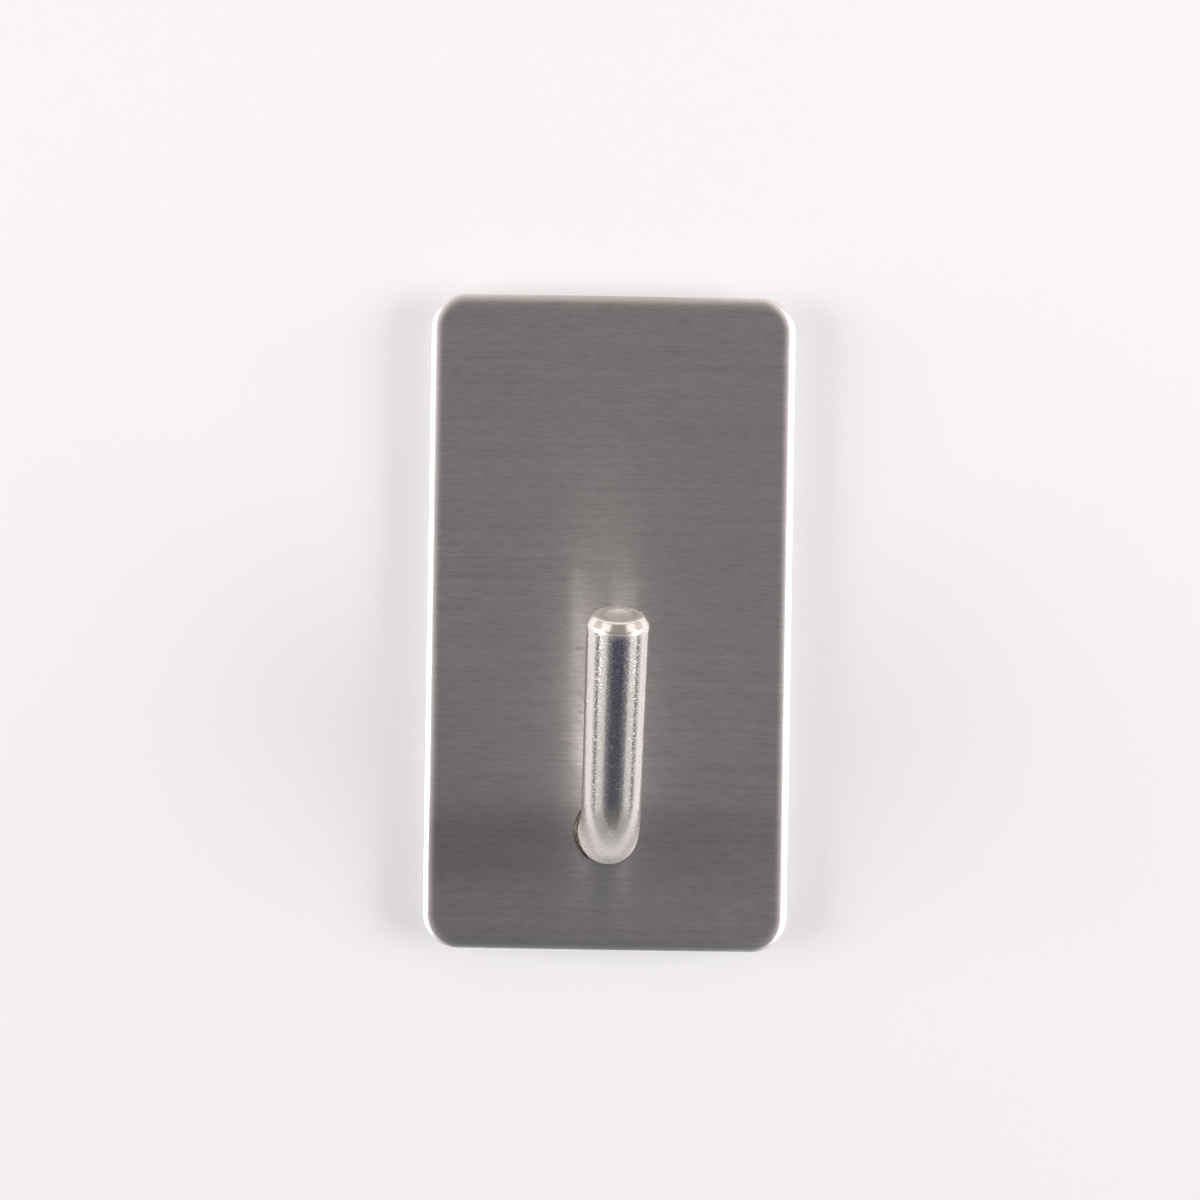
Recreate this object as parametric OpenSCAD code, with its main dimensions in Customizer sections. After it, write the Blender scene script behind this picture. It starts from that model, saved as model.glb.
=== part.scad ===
// Adhesive wall hook: a brushed steel plate with one round bar welded to it,
// held to the wall by a layered foam tape.
// Millimetres. +Z is up, the front faces -Y, and the wall is the plane Y = 0.
// The origin is the centre of the tape's wall face.

/* [Face plate] */
// Width of the plate
plate_w = 33.3; // [26:0.1:45]
// Height of the plate
plate_h = 60; // [52:0.5:90]
// Thickness of the plate
plate_t = 1.5; // [1.2:0.1:3]
// Radius of the plate's corners, seen from the front
plate_corner_r = 3.2; // [2:0.1:6]
// Radius of the shallow roll along the plate's front edge
front_roll_r = 2.2; // [2:0.1:6]
// Width of that roll, seen from the front
front_roll_w = 1.3; // [0.5:0.1:1.9]
// Rounding of the plate's back edge
back_edge_r = 0.2; // [0.1:0.05:0.3]

/* [Hook rod] */
// Diameter of the rod
rod_d = 5.2; // [3:0.1:7]
// Height of the rod's root above the plate's bottom edge
root_rise = 11; // [9:0.5:20]
// Straight length between the plate and the bend
stub_len = 3; // [1:0.1:8]
// Bend radius at the rod's centre line
bend_r = 6.5; // [5:0.1:12]
// Lean of the shank away from the wall, in degrees
shank_lean = 21; // [5:1:40]
// Straight length from the bend to the end face
shank_len = 16.5; // [8:0.5:40]
// Radial width of the chamfer at the tip
tip_chamfer_w = 0.5; // [0.2:0.05:0.6]
// Length of the chamfer along the rod
tip_chamfer_len = 0.8; // [0.3:0.1:2]
// Flat rim left between the dish and the chamfer
dish_rim = 0.6; // [0.2:0.05:0.8]
// Depth of the dish in the end face
dish_depth = 0.2; // [0.05:0.05:0.3]

/* [Root weld] */
// Width of the weld collar round the rod
collar_w = 0.35; // [0.15:0.05:1]
// Height of the weld collar along the rod
collar_h = 0.5; // [0.2:0.05:0.9]
// Depth of the weld pool in the plate
pool_depth = 0.3; // [0.15:0.05:0.8]

/* [Tape] */
// Inset of the tape from the plate's outline
tape_inset = 1; // [0.3:0.1:4]
// Radius of the tape's corners
tape_corner_r = 2.2; // [1:0.1:5]
// Thickness of the foam carrier
foam_t = 0.9; // [0.4:0.1:3]
// Thickness of each adhesive coat
adhesive_t = 0.1; // [0.05:0.01:0.2]

/* [Hidden] */

// Facets of every round surface
$fn = 96;

// Side of the cutting square beyond the corner that it rounds
overcut = 1;

// Straight land left on the plate's side between the front roll and the back rounding
side_land = 0.1;

// Width of the front roll, limited so that it runs no deeper than the plate's side allows
roll_depth_limit = min(front_roll_r, plate_t - back_edge_r - side_land);
front_w = min(front_roll_w, sqrt(roll_depth_limit * (2 * front_roll_r - roll_depth_limit)));

// Distance of the rod's root below the plate's centre
root_drop = plate_h / 2 - root_rise;

rod_r = rod_d / 2;
collar_r = rod_r + collar_w;
bend_turn = 90 - shank_lean;

// Bending draws the rod down by this much in radius
bend_draw = 0.02;

// Degrees by which the bend runs on inside each straight length
bend_lap = 1;

dish_r = rod_r - tip_chamfer_w - dish_rim;
dish_sphere_r = (dish_r * dish_r + dish_depth * dish_depth) / (2 * dish_depth);

tape_w = plate_w - 2 * tape_inset;
tape_h = plate_h - 2 * tape_inset;

// Distances from the wall to each layer's back
foam_back = adhesive_t;
plate_adhesive_back = foam_back + foam_t;
plate_back = plate_adhesive_back + adhesive_t;
plate_front = plate_back + plate_t;

plate_color = [0.46, 0.45, 0.44];
rod_color = [0.78, 0.76, 0.74];
weld_color = [0.62, 0.56, 0.48];
foam_color = [0.93, 0.93, 0.91];
adhesive_color = [0.86, 0.86, 0.83];

// Turns a shape drawn upright in X and Y, with its thickness along +Z,
// to stand on the wall with its back the given distance from it
module stand_off(distance) {
    translate([0, -distance, 0])
        rotate([90, 0, 0])
            children();
}

// Moves a shape from the plate's front face to the rod's root there
module at_root() {
    stand_off(plate_front)
        translate([0, -root_drop, 0])
            children();
}

// What an arc of radius r takes off a square corner at the origin, with the material towards -X
// and -Y: the arc runs out on the top face, the width w from the corner
module corner_waste(r, w) {
    translate([-w, -r])
        difference() {
            square([w + overcut, r + overcut]);
            circle(r);
        }
}

// Section of a plate edge: X runs outwards to the edge, Y from the back to the front
module edge_section(reach) {
    difference() {
        square([reach, plate_t]);
        translate([reach, plate_t])
            corner_waste(front_roll_r, front_w);
        translate([reach, 0])
            mirror([0, 1])
                corner_waste(back_edge_r, back_edge_r);
    }
}

// Straight length of plate edge, centred on X and reaching to +Y
module edge_run(length, reach) {
    rotate([90, 0, 90])
        linear_extrude(length, center = true)
            edge_section(reach);
}

module plate_blank() {
    half_w = plate_w / 2;
    corner_x = half_w - plate_corner_r;
    corner_y = plate_h / 2 - plate_corner_r;
    for (side = [0, 180])
        rotate(side) {
            rotate(90)
                edge_run(2 * corner_y, half_w);
            translate([0, corner_y, 0])
                edge_run(2 * corner_x, plate_corner_r);
            for (x = [-1, 1])
                translate([x * corner_x, corner_y, 0])
                    rotate(x > 0 ? 0 : 90)
                        rotate_extrude(angle = 90)
                            edge_section(plate_corner_r);
        }
}

module face_plate() {
    color(plate_color)
        difference() {
            stand_off(plate_back)
                plate_blank();
            at_root()
                translate([0, 0, -pool_depth])
                    cylinder(r = collar_r, h = pool_depth + overcut);
        }
}

// Places a shape at the end of the bend, with +Z along the shank
module at_shank() {
    translate([0, bend_r * (1 - cos(bend_turn)), stub_len + bend_r * sin(bend_turn)])
        rotate([-bend_turn, 0, 0])
            children();
}

module rod_bend() {
    translate([0, bend_r, stub_len])
        rotate([90, 0, -90])
            rotate(-bend_lap)
                rotate_extrude(angle = bend_turn + 2 * bend_lap)
                    translate([bend_r, 0])
                        circle(rod_r - bend_draw);
}

module shank() {
    difference() {
        union() {
            cylinder(r = rod_r, h = shank_len - tip_chamfer_len);
            translate([0, 0, shank_len - tip_chamfer_len])
                cylinder(r1 = rod_r, r2 = rod_r - tip_chamfer_w, h = tip_chamfer_len);
        }
        translate([0, 0, shank_len - dish_depth + dish_sphere_r])
            sphere(dish_sphere_r);
    }
}

module hook_rod() {
    color(rod_color)
        at_root() {
            cylinder(r = rod_r, h = stub_len);
            rod_bend();
            at_shank()
                shank();
        }
}

// One cup of weld metal: the pool under the rod's end and the collar that rises round it
module root_weld() {
    color(weld_color)
        at_root()
            rotate_extrude()
                polygon([
                    [0, -pool_depth],
                    [collar_r, -pool_depth],
                    [collar_r, 0],
                    [rod_r, collar_h],
                    [rod_r, 0],
                    [0, 0],
                ]);
}

module tape_layer(back, thickness) {
    corner_x = tape_w / 2 - tape_corner_r;
    corner_y = tape_h / 2 - tape_corner_r;
    stand_off(back)
        linear_extrude(thickness) {
            square([tape_w, 2 * corner_y], center = true);
            square([2 * corner_x, tape_h], center = true);
            for (x = [-corner_x, corner_x], y = [-corner_y, corner_y])
                translate([x, y])
                    circle(tape_corner_r);
        }
}

module plate_adhesive() {
    color(adhesive_color)
        tape_layer(plate_adhesive_back, adhesive_t);
}

module foam_core() {
    color(foam_color)
        tape_layer(foam_back, foam_t);
}

module wall_adhesive() {
    color(adhesive_color)
        tape_layer(0, adhesive_t);
}

face_plate();
hook_rod();
root_weld();
plate_adhesive();
foam_core();
wall_adhesive();
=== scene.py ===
"""Looks of an adhesive wall hook.

A plate of brushed stainless sheet with rolled edges carries a bright bent rod on a
small weld, and a layered foam tape behind the plate holds it to the wall. Lengths are
in metres unless a name says otherwise. The wall is the plane y = 0, the hook faces -Y
and +Z is up.
"""

from __future__ import annotations

import logging
import math
from collections.abc import Iterable, Mapping, Sequence
from dataclasses import dataclass, field
from enum import Enum
from typing import Any, Union

import bmesh
import bpy
from mathutils import Matrix, Vector, noise


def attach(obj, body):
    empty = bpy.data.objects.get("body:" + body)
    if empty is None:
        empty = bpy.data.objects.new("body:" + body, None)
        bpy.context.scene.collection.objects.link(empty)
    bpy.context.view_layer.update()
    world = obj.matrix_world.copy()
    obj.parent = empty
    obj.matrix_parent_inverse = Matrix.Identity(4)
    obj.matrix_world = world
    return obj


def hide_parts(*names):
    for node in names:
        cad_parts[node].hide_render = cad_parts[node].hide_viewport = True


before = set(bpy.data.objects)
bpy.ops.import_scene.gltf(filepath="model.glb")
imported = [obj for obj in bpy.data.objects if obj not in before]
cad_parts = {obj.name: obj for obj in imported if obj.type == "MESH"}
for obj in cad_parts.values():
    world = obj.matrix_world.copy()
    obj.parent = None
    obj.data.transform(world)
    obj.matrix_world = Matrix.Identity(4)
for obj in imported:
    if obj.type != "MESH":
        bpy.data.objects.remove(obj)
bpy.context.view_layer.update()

MM = 0.001
MERGE_DISTANCE = 1e-7
BODY = "root"
LOG = logging.getLogger("wall_hook")

Colour = tuple[float, float, float]
Triple = tuple[float, float, float]
Span = tuple[float, float]
Feed = Union[float, Sequence[float], "Signal"]


class Slot(Enum):
    """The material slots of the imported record."""

    PLATE = "brushed_plate"
    ROD = "bright_rod"
    WELD = "weld_metal"
    ADHESIVE = "adhesive"
    FOAM = "foam"


class Signal:
    """One output of a shader node, on which sums may be written."""

    def __init__(self, bench: ShaderBench, socket: bpy.types.NodeSocket) -> None:
        """Keeps the socket and the bench that adds its nodes."""
        self.bench = bench
        self.socket = socket

    def __add__(self, other: Feed) -> Signal:
        """Adds a number or a signal."""
        return self.bench.sum("ADD", self, other)

    def __radd__(self, other: Feed) -> Signal:
        """Adds itself to a number."""
        return self.bench.sum("ADD", other, self)

    def __sub__(self, other: Feed) -> Signal:
        """Takes a number or a signal away."""
        return self.bench.sum("SUBTRACT", self, other)

    def __rsub__(self, other: Feed) -> Signal:
        """Takes itself away from a number."""
        return self.bench.sum("SUBTRACT", other, self)

    def __mul__(self, other: Feed) -> Signal:
        """Multiplies by a number or a signal."""
        return self.bench.sum("MULTIPLY", self, other)

    def __rmul__(self, other: Feed) -> Signal:
        """Multiplies a number by itself."""
        return self.bench.sum("MULTIPLY", other, self)

    def __neg__(self) -> Signal:
        """Turns the sign."""
        return self.bench.sum("MULTIPLY", self, -1.0)

    def __abs__(self) -> Signal:
        """Drops the sign."""
        return self.bench.sum("ABSOLUTE", self)


class ShaderBench:
    """The node tree of one finish, and the only place that adds nodes to it."""

    def __init__(self, tree: bpy.types.NodeTree) -> None:
        """Empties the tree and keeps it."""
        tree.nodes.clear()
        self.tree = tree

    def add(
        self,
        kind: str,
        settings: Mapping[str, Any] | None = None,
        feeds: Mapping[str | int, Feed] | None = None,
    ) -> bpy.types.Node:
        """Adds a node, sets it up and feeds its sockets.

        Args:
            kind: The node's type.
            settings: The node's own choices, which are set first.
            feeds: Numbers, colours or signals, by socket name or number.

        Returns:
            The new node.
        """
        node = self.tree.nodes.new(kind)
        for name, value in (settings or {}).items():
            setattr(node, name, value)
        for key, value in (feeds or {}).items():
            if isinstance(value, Signal):
                self.tree.links.new(value.socket, node.inputs[key])
            else:
                node.inputs[key].default_value = value
        return node

    def read(self, node: bpy.types.Node, output: str | int = 0) -> Signal:
        """Gives one output of a node as a signal."""
        return Signal(self, node.outputs[output])

    def sum(self, operation: str, *terms: Feed) -> Signal:
        """Adds one Math node.

        Args:
            operation: The Math node's operation.
            terms: Its numbers or signals, in order.

        Returns:
            The result.
        """
        feeds = dict(enumerate(terms))
        return self.read(self.add("ShaderNodeMath", {"operation": operation}, feeds))

    def place(self) -> Signal:
        """Gives the object coordinates of the point that is shaded."""
        return self.read(self.add("ShaderNodeTexCoord"), "Object")

    def parts(self, vector: Signal) -> list[Signal]:
        """Splits a vector into its three numbers."""
        split = self.add("ShaderNodeSeparateXYZ", feeds={0: vector})
        return [self.read(split, axis) for axis in range(3)]

    def stretched(self, place: Signal, lengths: Sequence[float]) -> Signal:
        """Scales a place so that one unit of a pattern has a real size.

        Args:
            place: The coordinates.
            lengths: The pattern's size along x, y and z, in metres.

        Returns:
            The scaled coordinates.
        """
        scale = tuple(1 / length for length in lengths)
        node = self.add("ShaderNodeVectorMath", {"operation": "MULTIPLY"}, {0: place, 1: scale})
        return self.read(node)

    def clouds(self, place: Signal, detail: float = 2.0, roughness: float = 0.5) -> Signal:
        """Adds a noise of one unit's size, which varies about zero.

        Args:
            place: The scaled coordinates.
            detail: How many finer layers the noise has.
            roughness: How strong the finer layers are.

        Returns:
            The noise, from about -0.5 to 0.5.
        """
        feeds = {"Vector": place, "Scale": 1.0, "Detail": detail, "Roughness": roughness}
        return self.read(self.add("ShaderNodeTexNoise", feeds=feeds)) - 0.5

    def cells(self, place: Signal) -> Signal:
        """Gives the distance to the middle of the nearest cell of one unit's size."""
        return self.read(self.add("ShaderNodeTexVoronoi", feeds={"Vector": place, "Scale": 1.0}))

    def dot(self, place: Signal, direction: Sequence[float]) -> Signal:
        """Measures a place along a direction."""
        node = self.add("ShaderNodeVectorMath", {"operation": "DOT_PRODUCT"}, {0: place, 1: direction})
        return self.read(node, "Value")

    def length(self, vector: Signal) -> Signal:
        """Measures a vector."""
        return self.read(self.add("ShaderNodeVectorMath", {"operation": "LENGTH"}, {0: vector}), "Value")

    def off_line(self, place: Signal, point: Sequence[float], direction: Sequence[float]) -> Signal:
        """Measures how far a place is from a line.

        Args:
            place: The coordinates.
            point: A point on the line.
            direction: The line's direction, of length 1.

        Returns:
            The distance.
        """
        arm = self.add("ShaderNodeVectorMath", {"operation": "SUBTRACT"}, {0: place, 1: point})
        feeds = {0: self.read(arm), 1: direction}
        across = self.add("ShaderNodeVectorMath", {"operation": "CROSS_PRODUCT"}, feeds)
        return self.length(self.read(across))

    def rise(self, value: Feed, low: float, high: float) -> Signal:
        """Turns a value into a smooth step.

        Args:
            value: The value.
            low: Where the step starts, at 0.
            high: Where the step ends, at 1.

        Returns:
            The step.
        """
        settings = {"interpolation_type": "SMOOTHSTEP"}
        return self.read(self.add("ShaderNodeMapRange", settings, {0: value, 1: low, 2: high}))

    def blend(self, share: Feed, first: Colour | Signal, second: Colour | Signal) -> Signal:
        """Mixes two colours.

        Args:
            share: How much of the second colour shows.
            first: The colour at share 0.
            second: The colour at share 1.

        Returns:
            The mixed colour.
        """
        # The node has a set of sockets for each kind of data, and 6, 7 and 2 are for colours.
        ends = [end if isinstance(end, Signal) else (*end, 1.0) for end in (first, second)]
        feeds = {0: share, 6: ends[0], 7: ends[1]}
        return self.read(self.add("ShaderNodeMix", {"data_type": "RGBA"}, feeds), 2)

    def shaded(self, colour: Colour | Signal, strength: Signal) -> Signal:
        """Scales a colour by a signal."""
        node = self.add("ShaderNodeVectorMath", {"operation": "SCALE"}, {0: colour, "Scale": strength})
        return self.read(node)

    def bump(self, height: Signal, depth: float) -> Signal:
        """Makes a normal from a height.

        Args:
            height: The height, in units of the depth.
            depth: The depth of one unit, in metres.

        Returns:
            The normal.
        """
        feeds = {"Strength": 1.0, "Distance": depth, "Height": height}
        return self.read(self.add("ShaderNodeBump", feeds=feeds))

    def principled(self, feeds: Mapping[str, Feed]) -> Signal:
        """Adds the surface shader with these sockets."""
        return self.read(self.add("ShaderNodeBsdfPrincipled", feeds=feeds))


@dataclass(frozen=True)
class Finish:
    """What every finish has: a name, and a material made from its nodes."""

    name: str

    def surface(self, bench: ShaderBench) -> Signal:
        """Builds the shader; each finish has its own."""
        raise NotImplementedError

    def material(self) -> bpy.types.Material:
        """Makes the material.

        Returns:
            The material with the finish's surface.
        """
        made = bpy.data.materials.new(self.name)
        made.use_nodes = True
        bench = ShaderBench(made.node_tree)
        bench.add("ShaderNodeOutputMaterial", feeds={"Surface": self.surface(bench)})
        return made


@dataclass(frozen=True)
class BrushedSteel(Finish):
    """Stainless sheet brushed from side to side."""

    tone: Colour = (0.66, 0.655, 0.676)
    roughness: float = 0.11
    groove_roughness: float = 0.27
    anisotropy: float = 0.93
    metallic: float = 0.935
    brushing_turn: float = 0.25
    streak_size: Triple = (22 * MM, 2 * MM, 0.34 * MM)
    grain_size: Triple = (1.1 * MM, 1 * MM, 0.13 * MM)
    groove_size: Triple = (0.7 * MM, 1 * MM, 0.05 * MM)
    groove_span: Span = (-0.10, 0.14)
    streak_swing: float = 0.26
    grain_swing: float = 0.50
    streak_relief: float = 0.5
    scratch_depth: float = 0.0016 * MM
    # Painted shade: a darker band across the lower plate, deeper to the left.
    shade_band_start: Span = (14.6 * MM, 19.8 * MM)
    shade_band_easing_start: Span = (22 * MM, 25.5 * MM)
    shade_band_easing: float = 0.42
    shade_band_strength: float = 0.20
    shade_band_slope: float = 25.0
    face_front: float = -2.6 * MM
    roll_span: Span = (0.01 * MM, 0.15 * MM)
    roll_roughness: float = 0.30
    roll_shade: float = 0.4

    def surface(self, bench: ShaderBench) -> Signal:
        """Builds a metal with streaks and fine grain along X, and a band of painted shade across its
        lower part.

        Args:
            bench: The bench to add the nodes to.

        Returns:
            The shader.
        """
        place = bench.place()
        across, depth, up = bench.parts(place)
        streak = bench.clouds(bench.stretched(place, self.streak_size), detail=3.0, roughness=0.6)
        grain = bench.clouds(bench.stretched(place, self.grain_size), detail=2.0, roughness=0.6)
        groove = bench.clouds(bench.stretched(place, self.groove_size), detail=1.0)
        groove = bench.rise(groove, *self.groove_span)
        flat = 1 - bench.rise(depth - self.face_front, *self.roll_span)
        # Painted shade: the band's mask over the lower plate, stronger to the left.
        shade_band = 1 - self.shade_band_easing * bench.rise(-up, *self.shade_band_easing_start)
        shade_band = shade_band * bench.rise(-up, *self.shade_band_start) * (1 - self.shade_band_slope * across)
        swing = self.streak_swing * streak + self.grain_swing * grain
        shade = 1 + swing * (self.roll_shade + (1 - self.roll_shade) * flat)
        shade = shade * (1 - self.shade_band_strength * shade_band)
        roughness = self.roughness + self.groove_roughness * groove
        return bench.principled(
            {
                "Base Color": bench.shaded(self.tone, shade),
                "Metallic": self.metallic,
                "Roughness": self.roll_roughness + roughness * flat,
                "Anisotropic": self.anisotropy,
                "Anisotropic Rotation": self.brushing_turn,
                "Normal": bench.bump((grain + self.streak_relief * streak) * flat, self.scratch_depth),
            }
        )


@dataclass(frozen=True)
class BrightSteel(Finish):
    """Drawn and tumbled bar: bright, with a finely pitted skin that is duller at bend and tip, with
    painted shade on the bend and in a ring on the dish, and painted light on the end face.

    The bend is found by height, the stub behind it by depth, and the tip, its end face and
    the dish by their distance from the end point and from the shank's axis.
    """

    tone: Colour = (0.86, 0.82, 0.785)
    roughness: float = 0.13
    bend_roughness: float = 0.14
    tip_roughness: float = 0.02
    end_roughness: float = 0.13
    speck_roughness: float = 0.15
    roughness_swing: float = 0.10
    dimple_size: Triple = (0.20 * MM, 0.20 * MM, 0.14 * MM)
    dimple_depth: float = 0.009 * MM
    dimple_swing: float = 0.10
    pit_size: float = 0.11 * MM
    pit_relief: float = 0.35
    pit_swing: float = 0.06
    speck_span: Span = (0.04, 0.16)
    speck_pits: float = 0.5
    bend_span: Span = (-20.3 * MM, -15 * MM)
    bend_painted_shade: float = 0.33
    bend_dull_share: float = 0.24
    bend_relief: float = 1.6
    stub_span: Span = (-12.6 * MM, -8.2 * MM)
    stub_dull_share: float = 0.26
    tip_span: Span = (-1.6 * MM, -0.6 * MM)
    tip_dull_share: float = 0.24
    tip_speck_loss: float = 0.7
    tip_relief_loss: float = 0.4
    end_point: Triple = (0.0, -17.58 * MM, 0.575 * MM)
    end_facing: Triple = (0.0, -0.358368, 0.933580)
    end_span: Span = (-0.5 * MM, -0.4 * MM)
    end_edge: Span = (1.98 * MM, 2.18 * MM)
    end_painted_light: float = 0.14
    end_swing: float = 0.3
    end_relief_loss: float = 0.5
    dish_inside: Span = (1.05 * MM, 1.395 * MM)
    dish_lip: Span = (1.5 * MM, 1.62 * MM)
    dish_painted_shade: float = 0.26

    def surface(self, bench: ShaderBench) -> Signal:
        """Builds a bright metal with a speckled skin.

        Args:
            bench: The bench to add the nodes to.

        Returns:
            The shader.
        """
        place = bench.place()
        dimple = bench.clouds(bench.stretched(place, self.dimple_size), detail=2.0, roughness=0.55)
        pit = bench.clouds(bench.stretched(place, (self.pit_size,) * 3), detail=1.0, roughness=0.5)
        _, depth, up = bench.parts(place)
        bend = 1 - bench.rise(up, *self.bend_span)
        stub = bench.rise(depth, *self.stub_span)
        from_end = bench.dot(place, self.end_facing) - Vector(self.end_point).dot(self.end_facing)
        from_axis = bench.off_line(place, self.end_point, self.end_facing)
        tip = bench.rise(from_end, *self.tip_span)
        end = bench.rise(from_end, *self.end_span) * (1 - bench.rise(from_axis, *self.end_edge))
        # Painted shade: a darker ring on the dish's wall.
        dish_shade = bench.rise(from_axis, *self.dish_inside) * (1 - bench.rise(from_axis, *self.dish_lip))
        speck = bench.rise(dimple + self.speck_pits * pit, *self.speck_span)
        speck = speck * (1 - bend) * (1 - self.tip_speck_loss * tip)
        shade = 1 + self.dimple_swing * dimple + self.pit_swing * pit
        # Painted shade: the bend's colour is painted darker, but not on the stub behind it.
        shade = shade * (1 - self.bend_painted_shade * bend * (1 - stub))
        # Painted light lifts the end face and painted shade darkens the dish's ring; the mottle is the
        # end's own tone.
        end_shade = self.end_painted_light - self.dish_painted_shade * dish_shade + self.end_swing * dimple
        shade = shade * (1 + end_shade * end)
        dull = self.bend_dull_share * bend + self.stub_dull_share * stub + self.tip_dull_share * tip
        roughness = self.roughness + self.bend_roughness * bend + self.speck_roughness * speck
        roughness = roughness + self.tip_roughness * tip + self.end_roughness * end
        relief = (dimple + self.pit_relief * pit) * (1 + self.bend_relief * bend)
        relief = relief * (1 - self.tip_relief_loss * tip) * (1 - self.end_relief_loss * end)
        return bench.principled(
            {
                "Base Color": bench.shaded(self.tone, shade),
                "Metallic": 1 - dull,
                "Roughness": roughness + self.roughness_swing * dimple,
                "Normal": bench.bump(relief, self.dimple_depth),
            }
        )


@dataclass(frozen=True)
class WeldMetal(Finish):
    """Once-molten steel with a straw heat tint."""

    bright: Colour = (0.085, 0.072, 0.060)
    straw: Colour = (0.030, 0.025, 0.020)
    roughness: float = 0.48
    roughness_swing: float = 0.3
    ripple_size: float = 0.45 * MM
    ripple_depth: float = 0.03 * MM
    tint_span: Span = (-0.12, 0.14)

    def surface(self, bench: ShaderBench) -> Signal:
        """Builds a tinted, rippled metal.

        Args:
            bench: The bench to add the nodes to.

        Returns:
            The shader.
        """
        place = bench.stretched(bench.place(), (self.ripple_size,) * 3)
        ripple = bench.clouds(place, detail=3.0, roughness=0.6)
        return bench.principled(
            {
                "Base Color": bench.blend(bench.rise(ripple, *self.tint_span), self.straw, self.bright),
                "Metallic": 1.0,
                "Roughness": self.roughness + self.roughness_swing * ripple,
                "Normal": bench.bump(ripple, self.ripple_depth),
            }
        )


@dataclass(frozen=True)
class TackyCoat(Finish):
    """Milky pressure-sensitive adhesive, coated along the tape."""

    tone: Colour = (0.80, 0.79, 0.75)
    thick_tone: Colour = (0.72, 0.70, 0.64)
    roughness: float = 0.32
    roughness_swing: float = 0.25
    sheen: float = 0.45
    streak_size: Triple = (1.4 * MM, 1 * MM, 30 * MM)
    bubble_size: float = 0.9 * MM
    bubble_depth: float = 0.02 * MM
    bubble_edge: Span = (0.10, 0.26)
    bubble_tint: float = 0.35
    bubble_relief: float = 0.5
    thick_span: Span = (-0.2, 0.55)

    def surface(self, bench: ShaderBench) -> Signal:
        """Builds a soft sheen with coating streaks and small bubbles.

        Args:
            bench: The bench to add the nodes to.

        Returns:
            The shader.
        """
        place = bench.place()
        streak = bench.clouds(bench.stretched(place, self.streak_size), detail=3.0, roughness=0.55)
        cells = bench.cells(bench.stretched(place, (self.bubble_size,) * 3))
        bubble = 1 - bench.rise(cells, *self.bubble_edge)
        share = bench.rise(streak + self.bubble_tint * bubble, *self.thick_span)
        return bench.principled(
            {
                "Base Color": bench.blend(share, self.tone, self.thick_tone),
                "Roughness": self.roughness + self.roughness_swing * streak,
                "Specular IOR Level": self.sheen,
                "Normal": bench.bump(streak + self.bubble_relief * bubble, self.bubble_depth),
            }
        )


@dataclass(frozen=True)
class WhiteFoam(Finish):
    """Closed-cell foam, cut clean at its sides."""

    tone: Colour = (0.86, 0.86, 0.84)
    cell_shade_tone: Colour = (0.66, 0.66, 0.64)
    roughness: float = 0.82
    sheen: float = 0.3
    cell_size: float = 0.21 * MM
    cell_depth: float = 0.05 * MM
    cell_wall: Span = (0.15, 0.6)

    def surface(self, bench: ShaderBench) -> Signal:
        """Builds a dull white with open cut cells, whose hollows are painted darker as shade.

        Args:
            bench: The bench to add the nodes to.

        Returns:
            The shader.
        """
        wall = bench.cells(bench.stretched(bench.place(), (self.cell_size,) * 3))
        # Painted shade: the cells' hollows darken the base colour.
        hollow = 1 - bench.rise(wall, *self.cell_wall)
        return bench.principled(
            {
                "Base Color": bench.blend(hollow, self.tone, self.cell_shade_tone),
                "Roughness": self.roughness,
                "Specular IOR Level": self.sheen,
                "Normal": bench.bump(-hollow, self.cell_depth),
            }
        )


@dataclass(frozen=True)
class PaleSheet(Finish):
    """The pale ground behind the hook, which is see-through from behind."""

    tone: Colour = (0.540, 0.536, 0.550)
    glow: float = 0.54
    top_glow: float = 0.12
    top_span: Span = (-60 * MM, 60 * MM)
    reflection_dimming: float = 0.55
    reflection_dimming_span: Span = (70 * MM, 130 * MM)

    def surface(self, bench: ShaderBench) -> Signal:
        """Builds a dull sheet that only the camera and bright metal see.

        Args:
            bench: The bench to add the nodes to.

        Returns:
            The shader.
        """
        path = bench.add("ShaderNodeLightPath")
        mirrored = bench.read(path, "Is Glossy Ray")
        seen = bench.read(path, "Is Camera Ray") + mirrored + bench.read(path, "Is Transmission Ray")
        back = bench.read(bench.add("ShaderNodeNewGeometry"), "Backfacing")
        place = bench.place()
        # Painted reflection: bright metal sees the sheet darker far from the hook.
        far = bench.rise(bench.length(place), *self.reflection_dimming_span)
        tone = bench.shaded(self.tone, 1 - self.reflection_dimming * far * mirrored)
        top = bench.rise(bench.parts(place)[2], *self.top_span)
        glowing = bench.shaded(tone, self.glow + self.top_glow * top)
        dull = bench.add("ShaderNodeBsdfDiffuse", feeds={"Color": tone})
        glow = bench.add("ShaderNodeEmission", feeds={"Color": glowing, "Strength": 1.0})
        pale = bench.add("ShaderNodeAddShader", feeds={0: bench.read(dull), 1: bench.read(glow)})
        clear = bench.add("ShaderNodeBsdfTransparent")
        share = bench.rise(seen, 0.0, 1.0) * (1 - back)
        feeds = {0: share, 1: bench.read(clear), 2: bench.read(pale)}
        return bench.read(bench.add("ShaderNodeMixShader", feeds=feeds))


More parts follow.
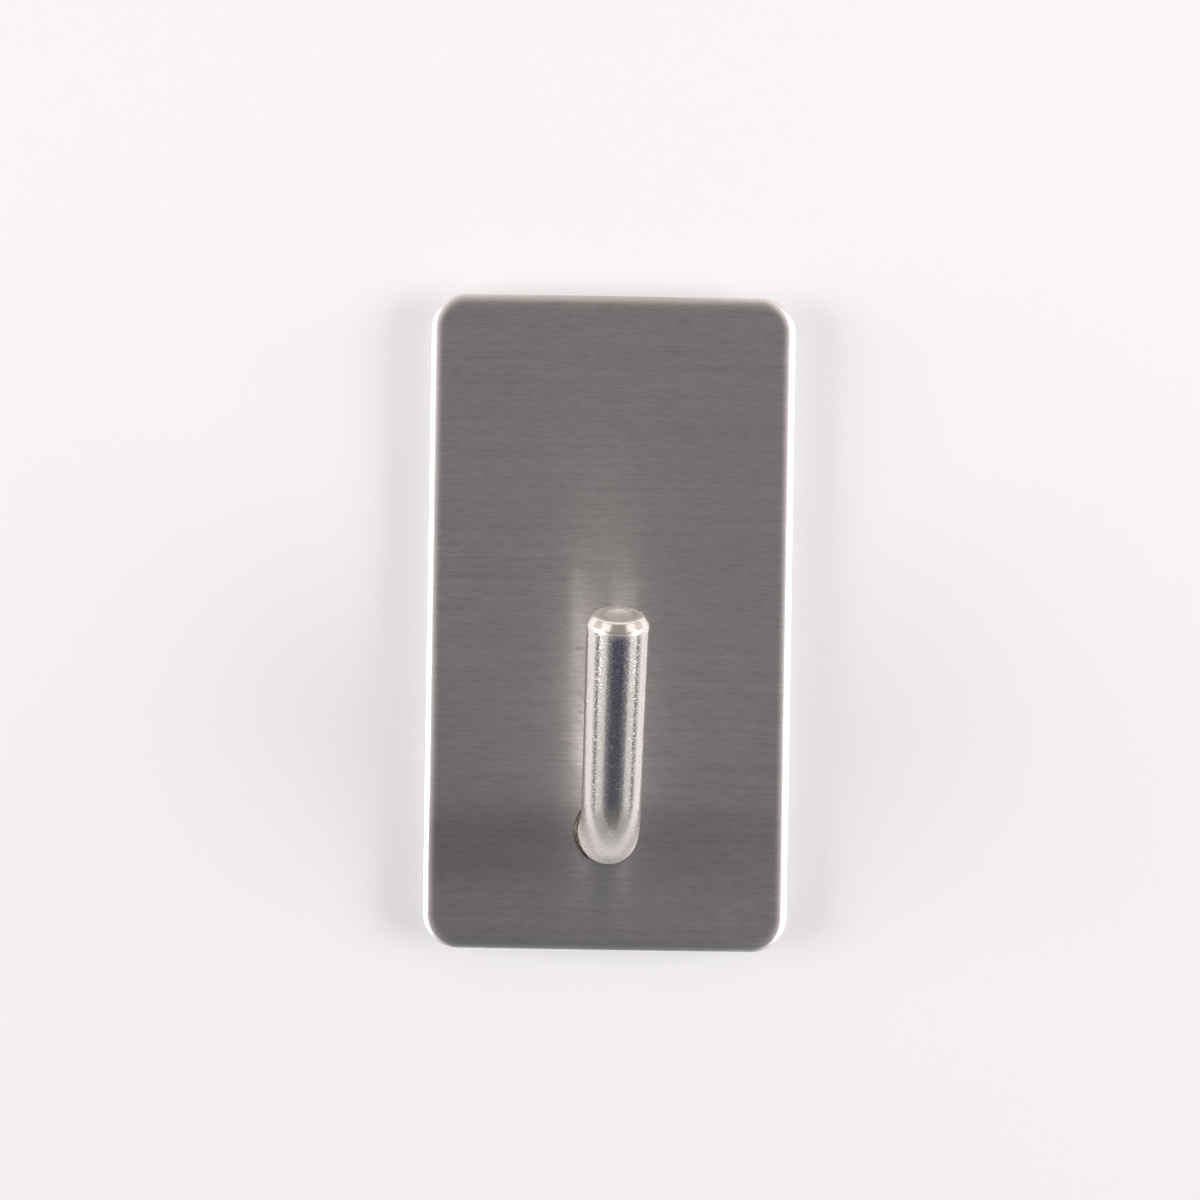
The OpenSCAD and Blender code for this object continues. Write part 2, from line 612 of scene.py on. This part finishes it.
class Shape:
    """A bmesh on its way to being a piece, with the few steps that several pieces share."""

    def __init__(self) -> None:
        """Starts empty."""
        self.mesh = bmesh.new()

    def rounded_face(self, width: float, height: float, corner: float, steps: int) -> bmesh.types.BMFace:
        """Lays a rectangle with round corners in the XY plane, facing +Z.

        Args:
            width: Its size along X.
            height: Its size along Y.
            corner: The radius of its corners.
            steps: The edges of each corner.

        Returns:
            The face.
        """
        bmesh.ops.create_grid(self.mesh, x_segments=1, y_segments=1, size=0.5)
        bmesh.ops.scale(self.mesh, vec=(width, height, 1.0), verts=self.mesh.verts)
        self.rounded_off(self.mesh.verts[:], corner, steps, affect="VERTICES")
        return self.mesh.faces[:][0]

    def rounded_off(
        self,
        geom: list[bmesh.types.BMVert] | list[bmesh.types.BMEdge],
        radius: float,
        steps: int,
        affect: str = "EDGES",
    ) -> None:
        """Bevels corners or edges.

        Args:
            geom: The corners or edges.
            radius: How far the bevel reaches.
            steps: The number of its segments.
            affect: Whether VERTICES or EDGES are bevelled.
        """
        bmesh.ops.bevel(
            self.mesh,
            geom=geom,
            offset=radius,
            offset_type="OFFSET",
            segments=steps,
            profile=0.5,
            affect=affect,
            material=-1,
        )

    def raised(self, face: bmesh.types.BMFace, lift: float) -> bmesh.types.BMFace:
        """Extrudes a face along +Z.

        Args:
            face: The face.
            lift: How far it goes.

        Returns:
            The face at the far end.
        """
        grown = bmesh.ops.extrude_face_region(self.mesh, geom=[face])["geom"]
        points = [item for item in grown if isinstance(item, bmesh.types.BMVert)]
        bmesh.ops.translate(self.mesh, vec=(0.0, 0.0, lift), verts=points)
        return next(item for item in grown if isinstance(item, bmesh.types.BMFace))

    def stepped_in(self, face: bmesh.types.BMFace, steps: Iterable[tuple[float, float]]) -> None:
        """Insets a face again and again.

        Args:
            face: The face, which ends as the innermost one.
            steps: How far each step goes in, and how far out along the face's normal.
        """
        for inward, outward in steps:
            bmesh.ops.inset_region(
                self.mesh,
                faces=[face],
                use_boundary=True,
                use_even_offset=True,
                thickness=inward,
                depth=outward,
            )

    def pulled(self, ring: list[bmesh.types.BMEdge], step: Vector) -> list[bmesh.types.BMEdge]:
        """Extrudes a ring of edges.

        Args:
            ring: The edges.
            step: How far the new ring stands from the old one.

        Returns:
            The new ring.
        """
        grown = bmesh.ops.extrude_edge_only(self.mesh, edges=ring)["geom"]
        points = {item for item in grown if isinstance(item, bmesh.types.BMVert)}
        bmesh.ops.translate(self.mesh, vec=step, verts=list(points))
        edges = (item for item in grown if isinstance(item, bmesh.types.BMEdge))
        return [edge for edge in edges if set(edge.verts) <= points]

    def facing_out(self) -> None:
        """Merges doubles and turns every face outwards."""
        bmesh.ops.remove_doubles(self.mesh, verts=self.mesh.verts, dist=MERGE_DISTANCE)
        bmesh.ops.recalc_face_normals(self.mesh, faces=self.mesh.faces)

    def stood_on_wall(self, distance: float) -> None:
        """Turns a shape that was drawn flat upright, with its back this far from the wall."""
        turn = Matrix.Translation((0.0, -distance, 0.0)) @ Matrix.Rotation(math.pi / 2, 4, "X")
        bmesh.ops.transform(self.mesh, matrix=turn, verts=self.mesh.verts)

    def smoothed(self, sharp_degrees: float) -> None:
        """Shades every face smooth and keeps the edges sharper than this angle crisp."""
        for shaded in self.mesh.faces:
            shaded.smooth = True
        limit = math.radians(sharp_degrees)
        for edge in self.mesh.edges:
            edge.smooth = edge.calc_face_angle(0.0) < limit

    def as_piece(self, name: str) -> bpy.types.Object:
        """Turns the shape into an object at the origin.

        Args:
            name: The piece's name.

        Returns:
            The object.
        """
        data = bpy.data.meshes.new(name)
        self.mesh.to_mesh(data)
        self.mesh.free()
        piece = bpy.data.objects.new(name, data)
        bpy.context.scene.collection.objects.link(piece)
        return piece


def settle(piece: bpy.types.Object, finish: Finish, node: str) -> None:
    """Gives a piece its finish, and sets it on the frame in place of its solid.

    Args:
        piece: The piece.
        finish: The finish that it takes.
        node: The solid that it stands for.
    """
    piece.data.materials.append(finish.material())
    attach(piece, BODY)
    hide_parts(node)
    LOG.info("%s: %d faces in place of %s", piece.name, len(piece.data.polygons), node)


@dataclass
class FacePlate:
    """The plate: brushed sheet whose front edge is rolled over all round."""

    width: float = 33.3 * MM
    height: float = 60 * MM
    thickness: float = 1.5 * MM
    back: float = 1.1 * MM
    corner: float = 3.2 * MM
    roll_width: float = 1.3 * MM
    roll_radius: float = 2.2 * MM
    back_round: float = 0.2 * MM
    flat_border: float = 0.3 * MM
    crisp_degrees: float = 40.0
    corner_steps: int = 20
    roll_steps: int = 18
    back_steps: int = 4
    finish: Finish = field(default_factory=lambda: BrushedSteel("brushed_stainless"))

    def rolls(self, radius: float, width: float, steps: int) -> list[tuple[float, float]]:
        """Divides an arc that rises from the plate's side and runs out on its face.

        Args:
            radius: The arc's radius.
            width: How much of the face it takes, up to the radius.
            steps: The number of steps.

        Returns:
            How far each step goes inwards and outwards.
        """
        start = math.asin(width / radius)
        turns = [start * (1 - step / steps) for step in range(steps + 1)]
        return [
            (radius * (math.sin(a) - math.sin(b)), radius * (math.cos(b) - math.cos(a)))
            for a, b in zip(turns, turns[1:])
        ]

    def build(self) -> bpy.types.Object:
        """Models the plate.

        Returns:
            The piece.
        """
        shape = Shape()
        rear = shape.rounded_face(self.width, self.height, self.corner, self.corner_steps)
        bmesh.ops.translate(shape.mesh, vec=(0.0, 0.0, self.back_round), verts=shape.mesh.verts)
        front_roll = self.rolls(self.roll_radius, self.roll_width, self.roll_steps)
        roll_depth = sum(outward for _, outward in front_roll)
        front = shape.raised(rear, self.thickness - self.back_round - roll_depth)
        shape.facing_out()
        rear = min(shape.mesh.faces, key=lambda face: face.calc_center_median().z)
        shape.stepped_in(front, front_roll)
        shape.stepped_in(rear, self.rolls(self.back_round, self.back_round, self.back_steps))
        for face in (front, rear):
            shape.stepped_in(face, [(self.flat_border, 0.0)])
        shape.stood_on_wall(self.back)
        shape.smoothed(self.crisp_degrees)
        return shape.as_piece("brushed_face_plate")

    def dress(self, piece: bpy.types.Object) -> None:
        """Finishes the plate and sets it on the frame."""
        settle(piece, self.finish, "face_plate")


@dataclass
class HookRod:
    """The rod: a round bar, square out of the plate, bent up and leaning outwards."""

    radius: float = 2.6 * MM
    root: Vector = field(default_factory=lambda: Vector((0.0, -2.6, -19.0)) * MM)
    stub: float = 3 * MM
    bend: float = 6.5 * MM
    lean_degrees: float = 21.0
    shank: float = 16.5 * MM
    chamfer_width: float = 0.5 * MM
    chamfer_length: float = 0.8 * MM
    rim: float = 0.6 * MM
    dish_depth: float = 0.2 * MM
    dish_shift: float = 0.15 * MM
    dish_margin: float = 0.05 * MM
    softening: float = 0.17 * MM
    crisp_degrees: float = 50.0
    facets: int = 96
    bend_steps: int = 36
    shank_steps: int = 10
    dish_steps: int = 9
    softening_steps: int = 4
    finish: Finish = field(default_factory=lambda: BrightSteel("bright_bar"))

    def along(self) -> Vector:
        """Gives the direction of the shank."""
        lean = math.radians(self.lean_degrees)
        return Vector((0.0, -math.sin(lean), math.cos(lean)))

    def swept_bar(self, shape: Shape) -> list[bmesh.types.BMEdge]:
        """Sweeps the bar from its root to the foot of the chamfer.

        Args:
            shape: The shape to build in.

        Returns:
            The ring at the foot of the chamfer.
        """
        turn = Matrix.Translation(self.root) @ Matrix.Rotation(math.pi / 2, 4, "X")
        bmesh.ops.create_circle(
            shape.mesh, cap_ends=True, radius=self.radius, segments=self.facets, matrix=turn
        )
        ring = shape.pulled(shape.mesh.edges[:], Vector((0.0, -self.stub, 0.0)))
        points = list({point for edge in ring for point in edge.verts})
        centre = self.root + Vector((0.0, -self.stub, self.bend))
        last = bmesh.ops.spin(
            shape.mesh,
            geom=[*points, *ring],
            cent=centre,
            axis=(-1.0, 0.0, 0.0),
            angle=math.radians(90.0 - self.lean_degrees),
            steps=self.bend_steps,
            use_merge=False,
        )["geom_last"]
        ring = [item for item in last if isinstance(item, bmesh.types.BMEdge)]
        straight = self.shank - self.chamfer_length - 2 * self.softening
        for _ in range(self.shank_steps):
            ring = shape.pulled(ring, self.along() * (straight / self.shank_steps))
        return shape.pulled(ring, self.along() * (2 * self.softening))

    def chamfered_tip(self, shape: Shape, ring: list[bmesh.types.BMEdge]) -> list[bmesh.types.BMEdge]:
        """Draws the bar in to its end face.

        Args:
            shape: The shape to build in.
            ring: The ring at the foot of the chamfer.

        Returns:
            The ring round the end face.
        """
        lengths = (2 * self.softening, self.chamfer_length - 4 * self.softening, 2 * self.softening)
        radius = self.radius
        for length in lengths:
            ring = shape.pulled(ring, self.along() * length)
            drawn = radius - self.chamfer_width * length / self.chamfer_length
            points = list({point for edge in ring for point in edge.verts})
            middle = sum((point.co for point in points), Vector()) / len(points)
            bmesh.ops.scale(
                shape.mesh, vec=(drawn / radius,) * 3, space=Matrix.Translation(-middle), verts=points
            )
            radius = drawn
        return ring

    def dished_end(self, shape: Shape, ring: list[bmesh.types.BMEdge]) -> None:
        """Closes the tip with a flat rim round a shallow dish, a little off centre.

        Args:
            shape: The shape to build in.
            ring: The ring round the end face.
        """
        face = bmesh.ops.edgeloop_fill(shape.mesh, edges=ring)["faces"][0]
        shape.facing_out()
        across = self.radius - self.chamfer_width - self.rim
        shape.stepped_in(face, [(2 * self.softening, 0.0), (self.rim - 2 * self.softening, 0.0)])
        inward = across / self.dish_steps
        depths = [1 - (1 - step / self.dish_steps) ** 2 for step in range(self.dish_steps)]
        shape.stepped_in(face, [(inward, self.dish_depth * (a - b)) for a, b in zip(depths, depths[1:])])
        centre = bmesh.ops.poke(shape.mesh, faces=[face])["verts"][0].co.copy()
        limit = across + self.dish_margin
        dish = [point for point in shape.mesh.verts if (point.co - centre).length < limit]
        bmesh.ops.translate(shape.mesh, vec=(self.dish_shift, 0.0, 0.0), verts=dish)

    def build(self) -> bpy.types.Object:
        """Models the rod.

        Returns:
            The piece.
        """
        shape = Shape()
        foot = self.swept_bar(shape)
        rim = self.chamfered_tip(shape, foot)
        self.dished_end(shape, rim)
        edges = [edge for edge in [*foot, *rim] if edge.is_valid]
        shape.rounded_off(edges, self.softening, self.softening_steps)
        shape.facing_out()
        shape.smoothed(self.crisp_degrees)
        return shape.as_piece("bright_hook_rod")

    def dress(self, piece: bpy.types.Object) -> None:
        """Finishes the rod and sets it on the frame."""
        settle(piece, self.finish, "hook_rod")


@dataclass
class RootWeld:
    """The thin collar of weld flash round the rod's root.

    Its section is drawn in shares of its width and rise, from the rod outwards and back.
    """

    inner: float = 2.58 * MM
    width: float = 0.37 * MM
    rise: float = 0.5 * MM
    root: Vector = field(default_factory=lambda: Vector((0.0, -2.6, -19.0)) * MM)
    section: tuple[Span, ...] = (
        (0.0, 0.0),
        (1.0, 0.0),
        (1.06, 0.18),
        (0.96, 0.45),
        (0.72, 0.7),
        (0.4, 0.88),
        (0.0, 1.0),
    )
    waviness: float = 0.07 * MM
    wave_length: float = 0.9 * MM
    crisp_degrees: float = 60.0
    steps: int = 144
    finish: Finish = field(default_factory=lambda: WeldMetal("weld_flash"))

    def build(self) -> bpy.types.Object:
        """Models the collar.

        Returns:
            The piece.
        """
        shape = Shape()
        points = [
            shape.mesh.verts.new((self.inner + self.width * across, 0.0, self.rise * up))
            for across, up in self.section
        ]
        edges = [shape.mesh.edges.new(pair) for pair in zip(points, [*points[1:], points[0]])]
        bmesh.ops.spin(
            shape.mesh,
            geom=[*points, *edges],
            cent=(0.0, 0.0, 0.0),
            axis=(0.0, 0.0, 1.0),
            angle=math.tau,
            steps=self.steps,
            use_merge=True,
        )
        shape.facing_out()
        for point in shape.mesh.verts:
            outward = Vector((point.co.x, point.co.y, 0.0))
            reach = (outward.length - self.inner) / self.width
            swell = noise.noise(point.co / self.wave_length) * max(reach, 0.0)
            point.co += outward.normalized() * (self.waviness * swell)
        shape.stood_on_wall(-self.root.y)
        bmesh.ops.translate(shape.mesh, vec=(self.root.x, 0.0, self.root.z), verts=shape.mesh.verts)
        shape.smoothed(self.crisp_degrees)
        return shape.as_piece("root_weld_bead")

    def dress(self, piece: bpy.types.Object) -> None:
        """Finishes the collar and sets it on the frame."""
        settle(piece, self.finish, "root_weld")


@dataclass
class MountingTape:
    """The double-sided tape: a foam core with an adhesive coat on each face."""

    width: float = 31.3 * MM
    height: float = 58 * MM
    corner: float = 2.2 * MM
    coat: float = 0.1 * MM
    core: float = 0.9 * MM
    bulge: float = 0.05 * MM
    coat_round: float = 0.03 * MM
    crisp_degrees: float = 50.0
    corner_steps: int = 14
    coat_round_steps: int = 2
    core_steps: int = 6
    coat_finish: Finish = field(default_factory=lambda: TackyCoat("tacky_coat"))
    core_finish: Finish = field(default_factory=lambda: WhiteFoam("white_foam"))

    def build_coat(self, name: str, distance: float) -> bpy.types.Object:
        """Models one adhesive coat.

        Args:
            name: The piece's name.
            distance: How far its back is from the wall.

        Returns:
            The piece.
        """
        shape = Shape()
        face = shape.rounded_face(self.width, self.height, self.corner, self.corner_steps)
        shape.raised(face, self.coat)
        shape.facing_out()
        limit = math.radians(self.crisp_degrees)
        rims = [edge for edge in shape.mesh.edges if edge.calc_face_angle(0.0) > limit]
        shape.rounded_off(rims, self.coat_round, self.coat_round_steps)
        shape.stood_on_wall(distance)
        shape.smoothed(self.crisp_degrees)
        return shape.as_piece(name)

    def build_core(self) -> bpy.types.Object:
        """Models the foam core, whose sides bulge a little.

        Returns:
            The piece.
        """
        shape = Shape()
        face = shape.rounded_face(self.width, self.height, self.corner, self.corner_steps)
        for _ in range(self.core_steps):
            face = shape.raised(face, self.core / self.core_steps)
        shape.facing_out()
        for point in shape.mesh.verts:
            swell = self.bulge * math.sin(math.pi * point.co.z / self.core)
            bmesh.ops.scale(
                shape.mesh,
                vec=(1 + 2 * swell / self.width, 1 + 2 * swell / self.height, 1.0),
                verts=[point],
            )
        shape.stood_on_wall(self.coat)
        shape.smoothed(self.crisp_degrees)
        return shape.as_piece("tape_foam_core")

    def dress(
        self,
        wall_coat: bpy.types.Object,
        core: bpy.types.Object,
        plate_coat: bpy.types.Object,
    ) -> None:
        """Finishes the three layers and sets them on the frame.

        Args:
            wall_coat: The coat against the wall.
            core: The foam.
            plate_coat: The coat against the plate.
        """
        settle(wall_coat, self.coat_finish, "wall_adhesive")
        settle(core, self.core_finish, "foam_core")
        settle(plate_coat, self.coat_finish, "plate_adhesive")


@dataclass(frozen=True)
class SoftBox:
    """One tall soft box, which faces the hook from the front of one side.

    Its turn is measured from straight ahead, positive to the right. Its tilt says how much
    its upper part leans to the right.
    """

    name: str
    turn_degrees: float
    radiance: float
    tilt: float = 0.0
    rise: float = -0.05
    width: float = 0.20
    height: float = 0.40
    distance: float = 0.6

    def hang(self) -> None:
        """Hangs the box, which only the camera doesn't see."""
        lamp = bpy.data.lights.new(self.name, "AREA")
        lamp.shape = "RECTANGLE"
        lamp.size = self.width
        lamp.size_y = self.height
        lamp.energy = self.radiance * math.pi * self.width * self.height
        box = bpy.data.objects.new(self.name, lamp)
        turn = math.radians(self.turn_degrees)
        where = Vector((math.sin(turn), -math.cos(turn), 0.0)) * self.distance
        face = Matrix.Rotation(turn, 4, "Z") @ Matrix.Rotation(math.pi / 2, 4, "X")
        lean = Matrix.Rotation(-math.atan(self.tilt), 4, "Z") @ Matrix.Translation((0.0, self.rise, 0.0))
        box.matrix_world = Matrix.Translation(where) @ face @ lean
        box.visible_camera = False
        bpy.context.scene.collection.objects.link(box)

    def inner_edge(self) -> float:
        """Gives how far from straight ahead its nearer edge stands, in degrees."""
        return abs(self.turn_degrees) - math.degrees(math.atan(self.width / 2 / self.distance))


@dataclass
class Studio:
    """A pale sheet behind the hook, two tall soft boxes and a surround that is dark in front.

    The surround's tones change over spans of angle, in degrees: a turn away from straight
    ahead, a lift above the level, a drop below it, or a place aside of a soft box's inner
    edge.
    """

    sheet_size: float = 1.8
    sheet_gap: float = 0.4 * MM
    sheet_steps: int = 8
    left: SoftBox = SoftBox("soft_box_left", turn_degrees=-67.0, radiance=7.4, tilt=-0.25)
    right: SoftBox = SoftBox("soft_box_right", turn_degrees=64.5, radiance=8.4, tilt=0.1)
    front_tone: Colour = (0.075, 0.073, 0.073)
    band_tone: Colour = (0.312, 0.30, 0.296)
    band_drop: Span = (8, 18)
    near_tone: Colour = (0.95, 0.79, 0.73)
    near_aside: Span = (-32, 0)
    low_tone: Colour = (0.062, 0.070, 0.104)
    low_drop: Span = (26, 36)
    low_near_tone: Colour = (0.22, 0.22, 0.24)
    low_near_aside: Span = (-34, 0)
    under_tone: Colour = (0.13, 0.128, 0.122)
    under_drop: Span = (43, 56)
    side_tone: Colour = (4.2, 3.95, 3.8)
    side_aside: Span = (-2, 2)
    side_middle: float = -3
    side_reach: Span = (9, 23)
    low_side_tone: Colour = (0.68, 0.665, 0.67)
    under_side_tone: Colour = (0.40, 0.39, 0.385)
    under_side_drop: Span = (35, 49)
    gap_tone: Colour = (0.40, 0.38, 0.37)
    gap_turn: Span = (77, 85)
    gap_lift: Span = (16, 21)
    low_gap_tone: Colour = (0.12, 0.12, 0.12)
    low_gap_drop: Span = (12, 26)
    under_gap_drop: Span = (25, 38)
    wing_tone: Colour = (18.0, 16.5, 15.4)
    wing_turn: Span = (76, 82)
    wing_foot: Span = (-12, 2)
    wing_head: Span = (9, 18)
    hood_tone: Colour = (1.15, 1.10, 1.07)
    hood_inside: Span = (22, 36)
    hood_outside: Span = (60, 70)
    hood_foot: Span = (14, 20)
    hood_head: Span = (32, 44)
    back_tone: Colour = (0.90, 0.88, 0.88)
    back_turn: Span = (94, 102)
    top_tone: Colour = (1.20, 1.02, 0.89)
    top_lift: Span = (22, 84)
    foot_tone: Colour = (0.95, 0.92, 0.91)
    foot_drop: Span = (72, 90)
    seen_tone: Colour = (0.95, 0.92, 0.925)
    ground: Finish = field(default_factory=lambda: PaleSheet("pale_ground"))

    def lay_sheet(self) -> None:
        """Stands the sheet up behind the hook."""
        shape = Shape()
        steps = self.sheet_steps
        bmesh.ops.create_grid(shape.mesh, x_segments=steps, y_segments=steps, size=self.sheet_size / 2)
        shape.stood_on_wall(-self.sheet_gap)
        sheet = shape.as_piece("pale_ground_sheet")
        sheet.data.materials.append(self.ground.material())

    def light_surround(self) -> None:
        """Lights the world by direction."""
        world = bpy.data.worlds.new("pale_studio")
        bpy.context.scene.world = world
        world.use_nodes = True
        bench = ShaderBench(world.node_tree)
        direction = bench.read(bench.add("ShaderNodeTexCoord"), "Generated")
        across, depth, up = bench.parts(direction)
        turn = bench.sum("ARCTAN2", across, -depth)
        lift = bench.sum("ARCSINE", up)
        drop, swing = -lift, abs(turn)
        past_left = -turn + self.left.tilt * lift - math.radians(self.left.inner_edge())
        past_right = turn - self.right.tilt * lift - math.radians(self.right.inner_edge())
        aside = bench.sum("MAXIMUM", past_left, past_right)

        def step(angle: Signal, span: Span) -> Signal:
            """Turns an angle into a smooth step over a span of degrees."""
            return bench.rise(angle, *map(math.radians, span))

        front = bench.blend(step(drop, self.band_drop), self.front_tone, self.band_tone)
        front = bench.blend(step(aside, self.near_aside), front, self.near_tone)
        low = bench.blend(step(aside, self.low_near_aside), self.low_tone, self.low_near_tone)
        low = bench.blend(step(drop, self.under_drop), low, self.under_tone)
        front = bench.blend(step(drop, self.low_drop), front, low)
        from_middle = abs(lift - math.radians(self.side_middle))
        side = bench.blend(step(from_middle, self.side_reach), self.side_tone, self.low_side_tone)
        gap = bench.blend(step(drop, self.low_gap_drop), self.gap_tone, self.low_gap_tone)
        gap = bench.blend(step(drop, self.under_gap_drop), gap, self.under_side_tone)
        side = bench.blend(step(swing, self.gap_turn), side, gap)
        wing = step(swing, self.wing_turn)
        wing = wing * step(lift, self.wing_foot) * (1 - step(lift, self.wing_head))
        side = bench.blend(wing, side, self.wing_tone)
        side = bench.blend(step(lift, self.gap_lift), side, self.gap_tone)
        side = bench.blend(step(drop, self.under_side_drop), side, self.under_side_tone)
        side = bench.blend(step(swing, self.back_turn), side, self.back_tone)
        lit = bench.blend(step(aside, self.side_aside), front, side)
        hood = step(swing, self.hood_inside) * (1 - step(swing, self.hood_outside))
        hood = hood * step(lift, self.hood_foot) * (1 - step(lift, self.hood_head))
        lit = bench.blend(hood, lit, self.hood_tone)
        lit = bench.blend(step(lift, self.top_lift), lit, self.top_tone)
        lit = bench.blend(step(drop, self.foot_drop), lit, self.foot_tone)
        seen = bench.read(bench.add("ShaderNodeLightPath"), "Is Camera Ray")
        shown = bench.blend(seen, lit, self.seen_tone)
        shade = bench.add("ShaderNodeBackground", feeds={"Color": shown})
        bench.add("ShaderNodeOutputWorld", feeds={"Surface": bench.read(shade)})

    def build(self) -> None:
        """Sets the stage and the light."""
        self.lay_sheet()
        self.left.hang()
        self.right.hang()
        self.light_surround()
        bpy.context.scene.view_settings.view_transform = "Standard"


@dataclass
class PlainCamera:
    """The camera: square on to the wall, left of the hook and very slightly rolled."""

    place: Vector = field(default_factory=lambda: Vector((-7.6, -156.66, -1.59)) * MM)
    lens: float = 50.5
    sensor: float = 36.0
    roll_degrees: float = 0.9
    shift: tuple[float, float] = (0.0616, 0.0325)
    nearest: float = 5 * MM

    def build(self) -> None:
        """Sets the camera up."""
        data = bpy.data.cameras.new("front_camera")
        data.lens = self.lens
        data.sensor_width = self.sensor
        data.shift_x, data.shift_y = self.shift
        data.clip_start = self.nearest
        camera = bpy.data.objects.new("front_camera", data)
        roll = Matrix.Rotation(math.radians(self.roll_degrees), 4, "Z")
        level = Matrix.Rotation(math.pi / 2, 4, "X")
        camera.matrix_world = Matrix.Translation(self.place) @ level @ roll
        bpy.context.scene.collection.objects.link(camera)
        bpy.context.scene.camera = camera


def main() -> None:
    """Builds the camera, the stage and every piece of the hook."""
    logging.basicConfig(level=logging.INFO, format="%(name)s: %(message)s")
    PlainCamera().build()
    Studio().build()
    plate, rod, weld, tape = FacePlate(), HookRod(), RootWeld(), MountingTape()
    plate.dress(plate.build())
    rod.dress(rod.build())
    weld.dress(weld.build())
    tape.dress(
        tape.build_coat("tape_wall_adhesive", 0.0),
        tape.build_core(),
        tape.build_coat("tape_plate_adhesive", tape.coat + tape.core),
    )


if __name__ == "__main__":
    main()
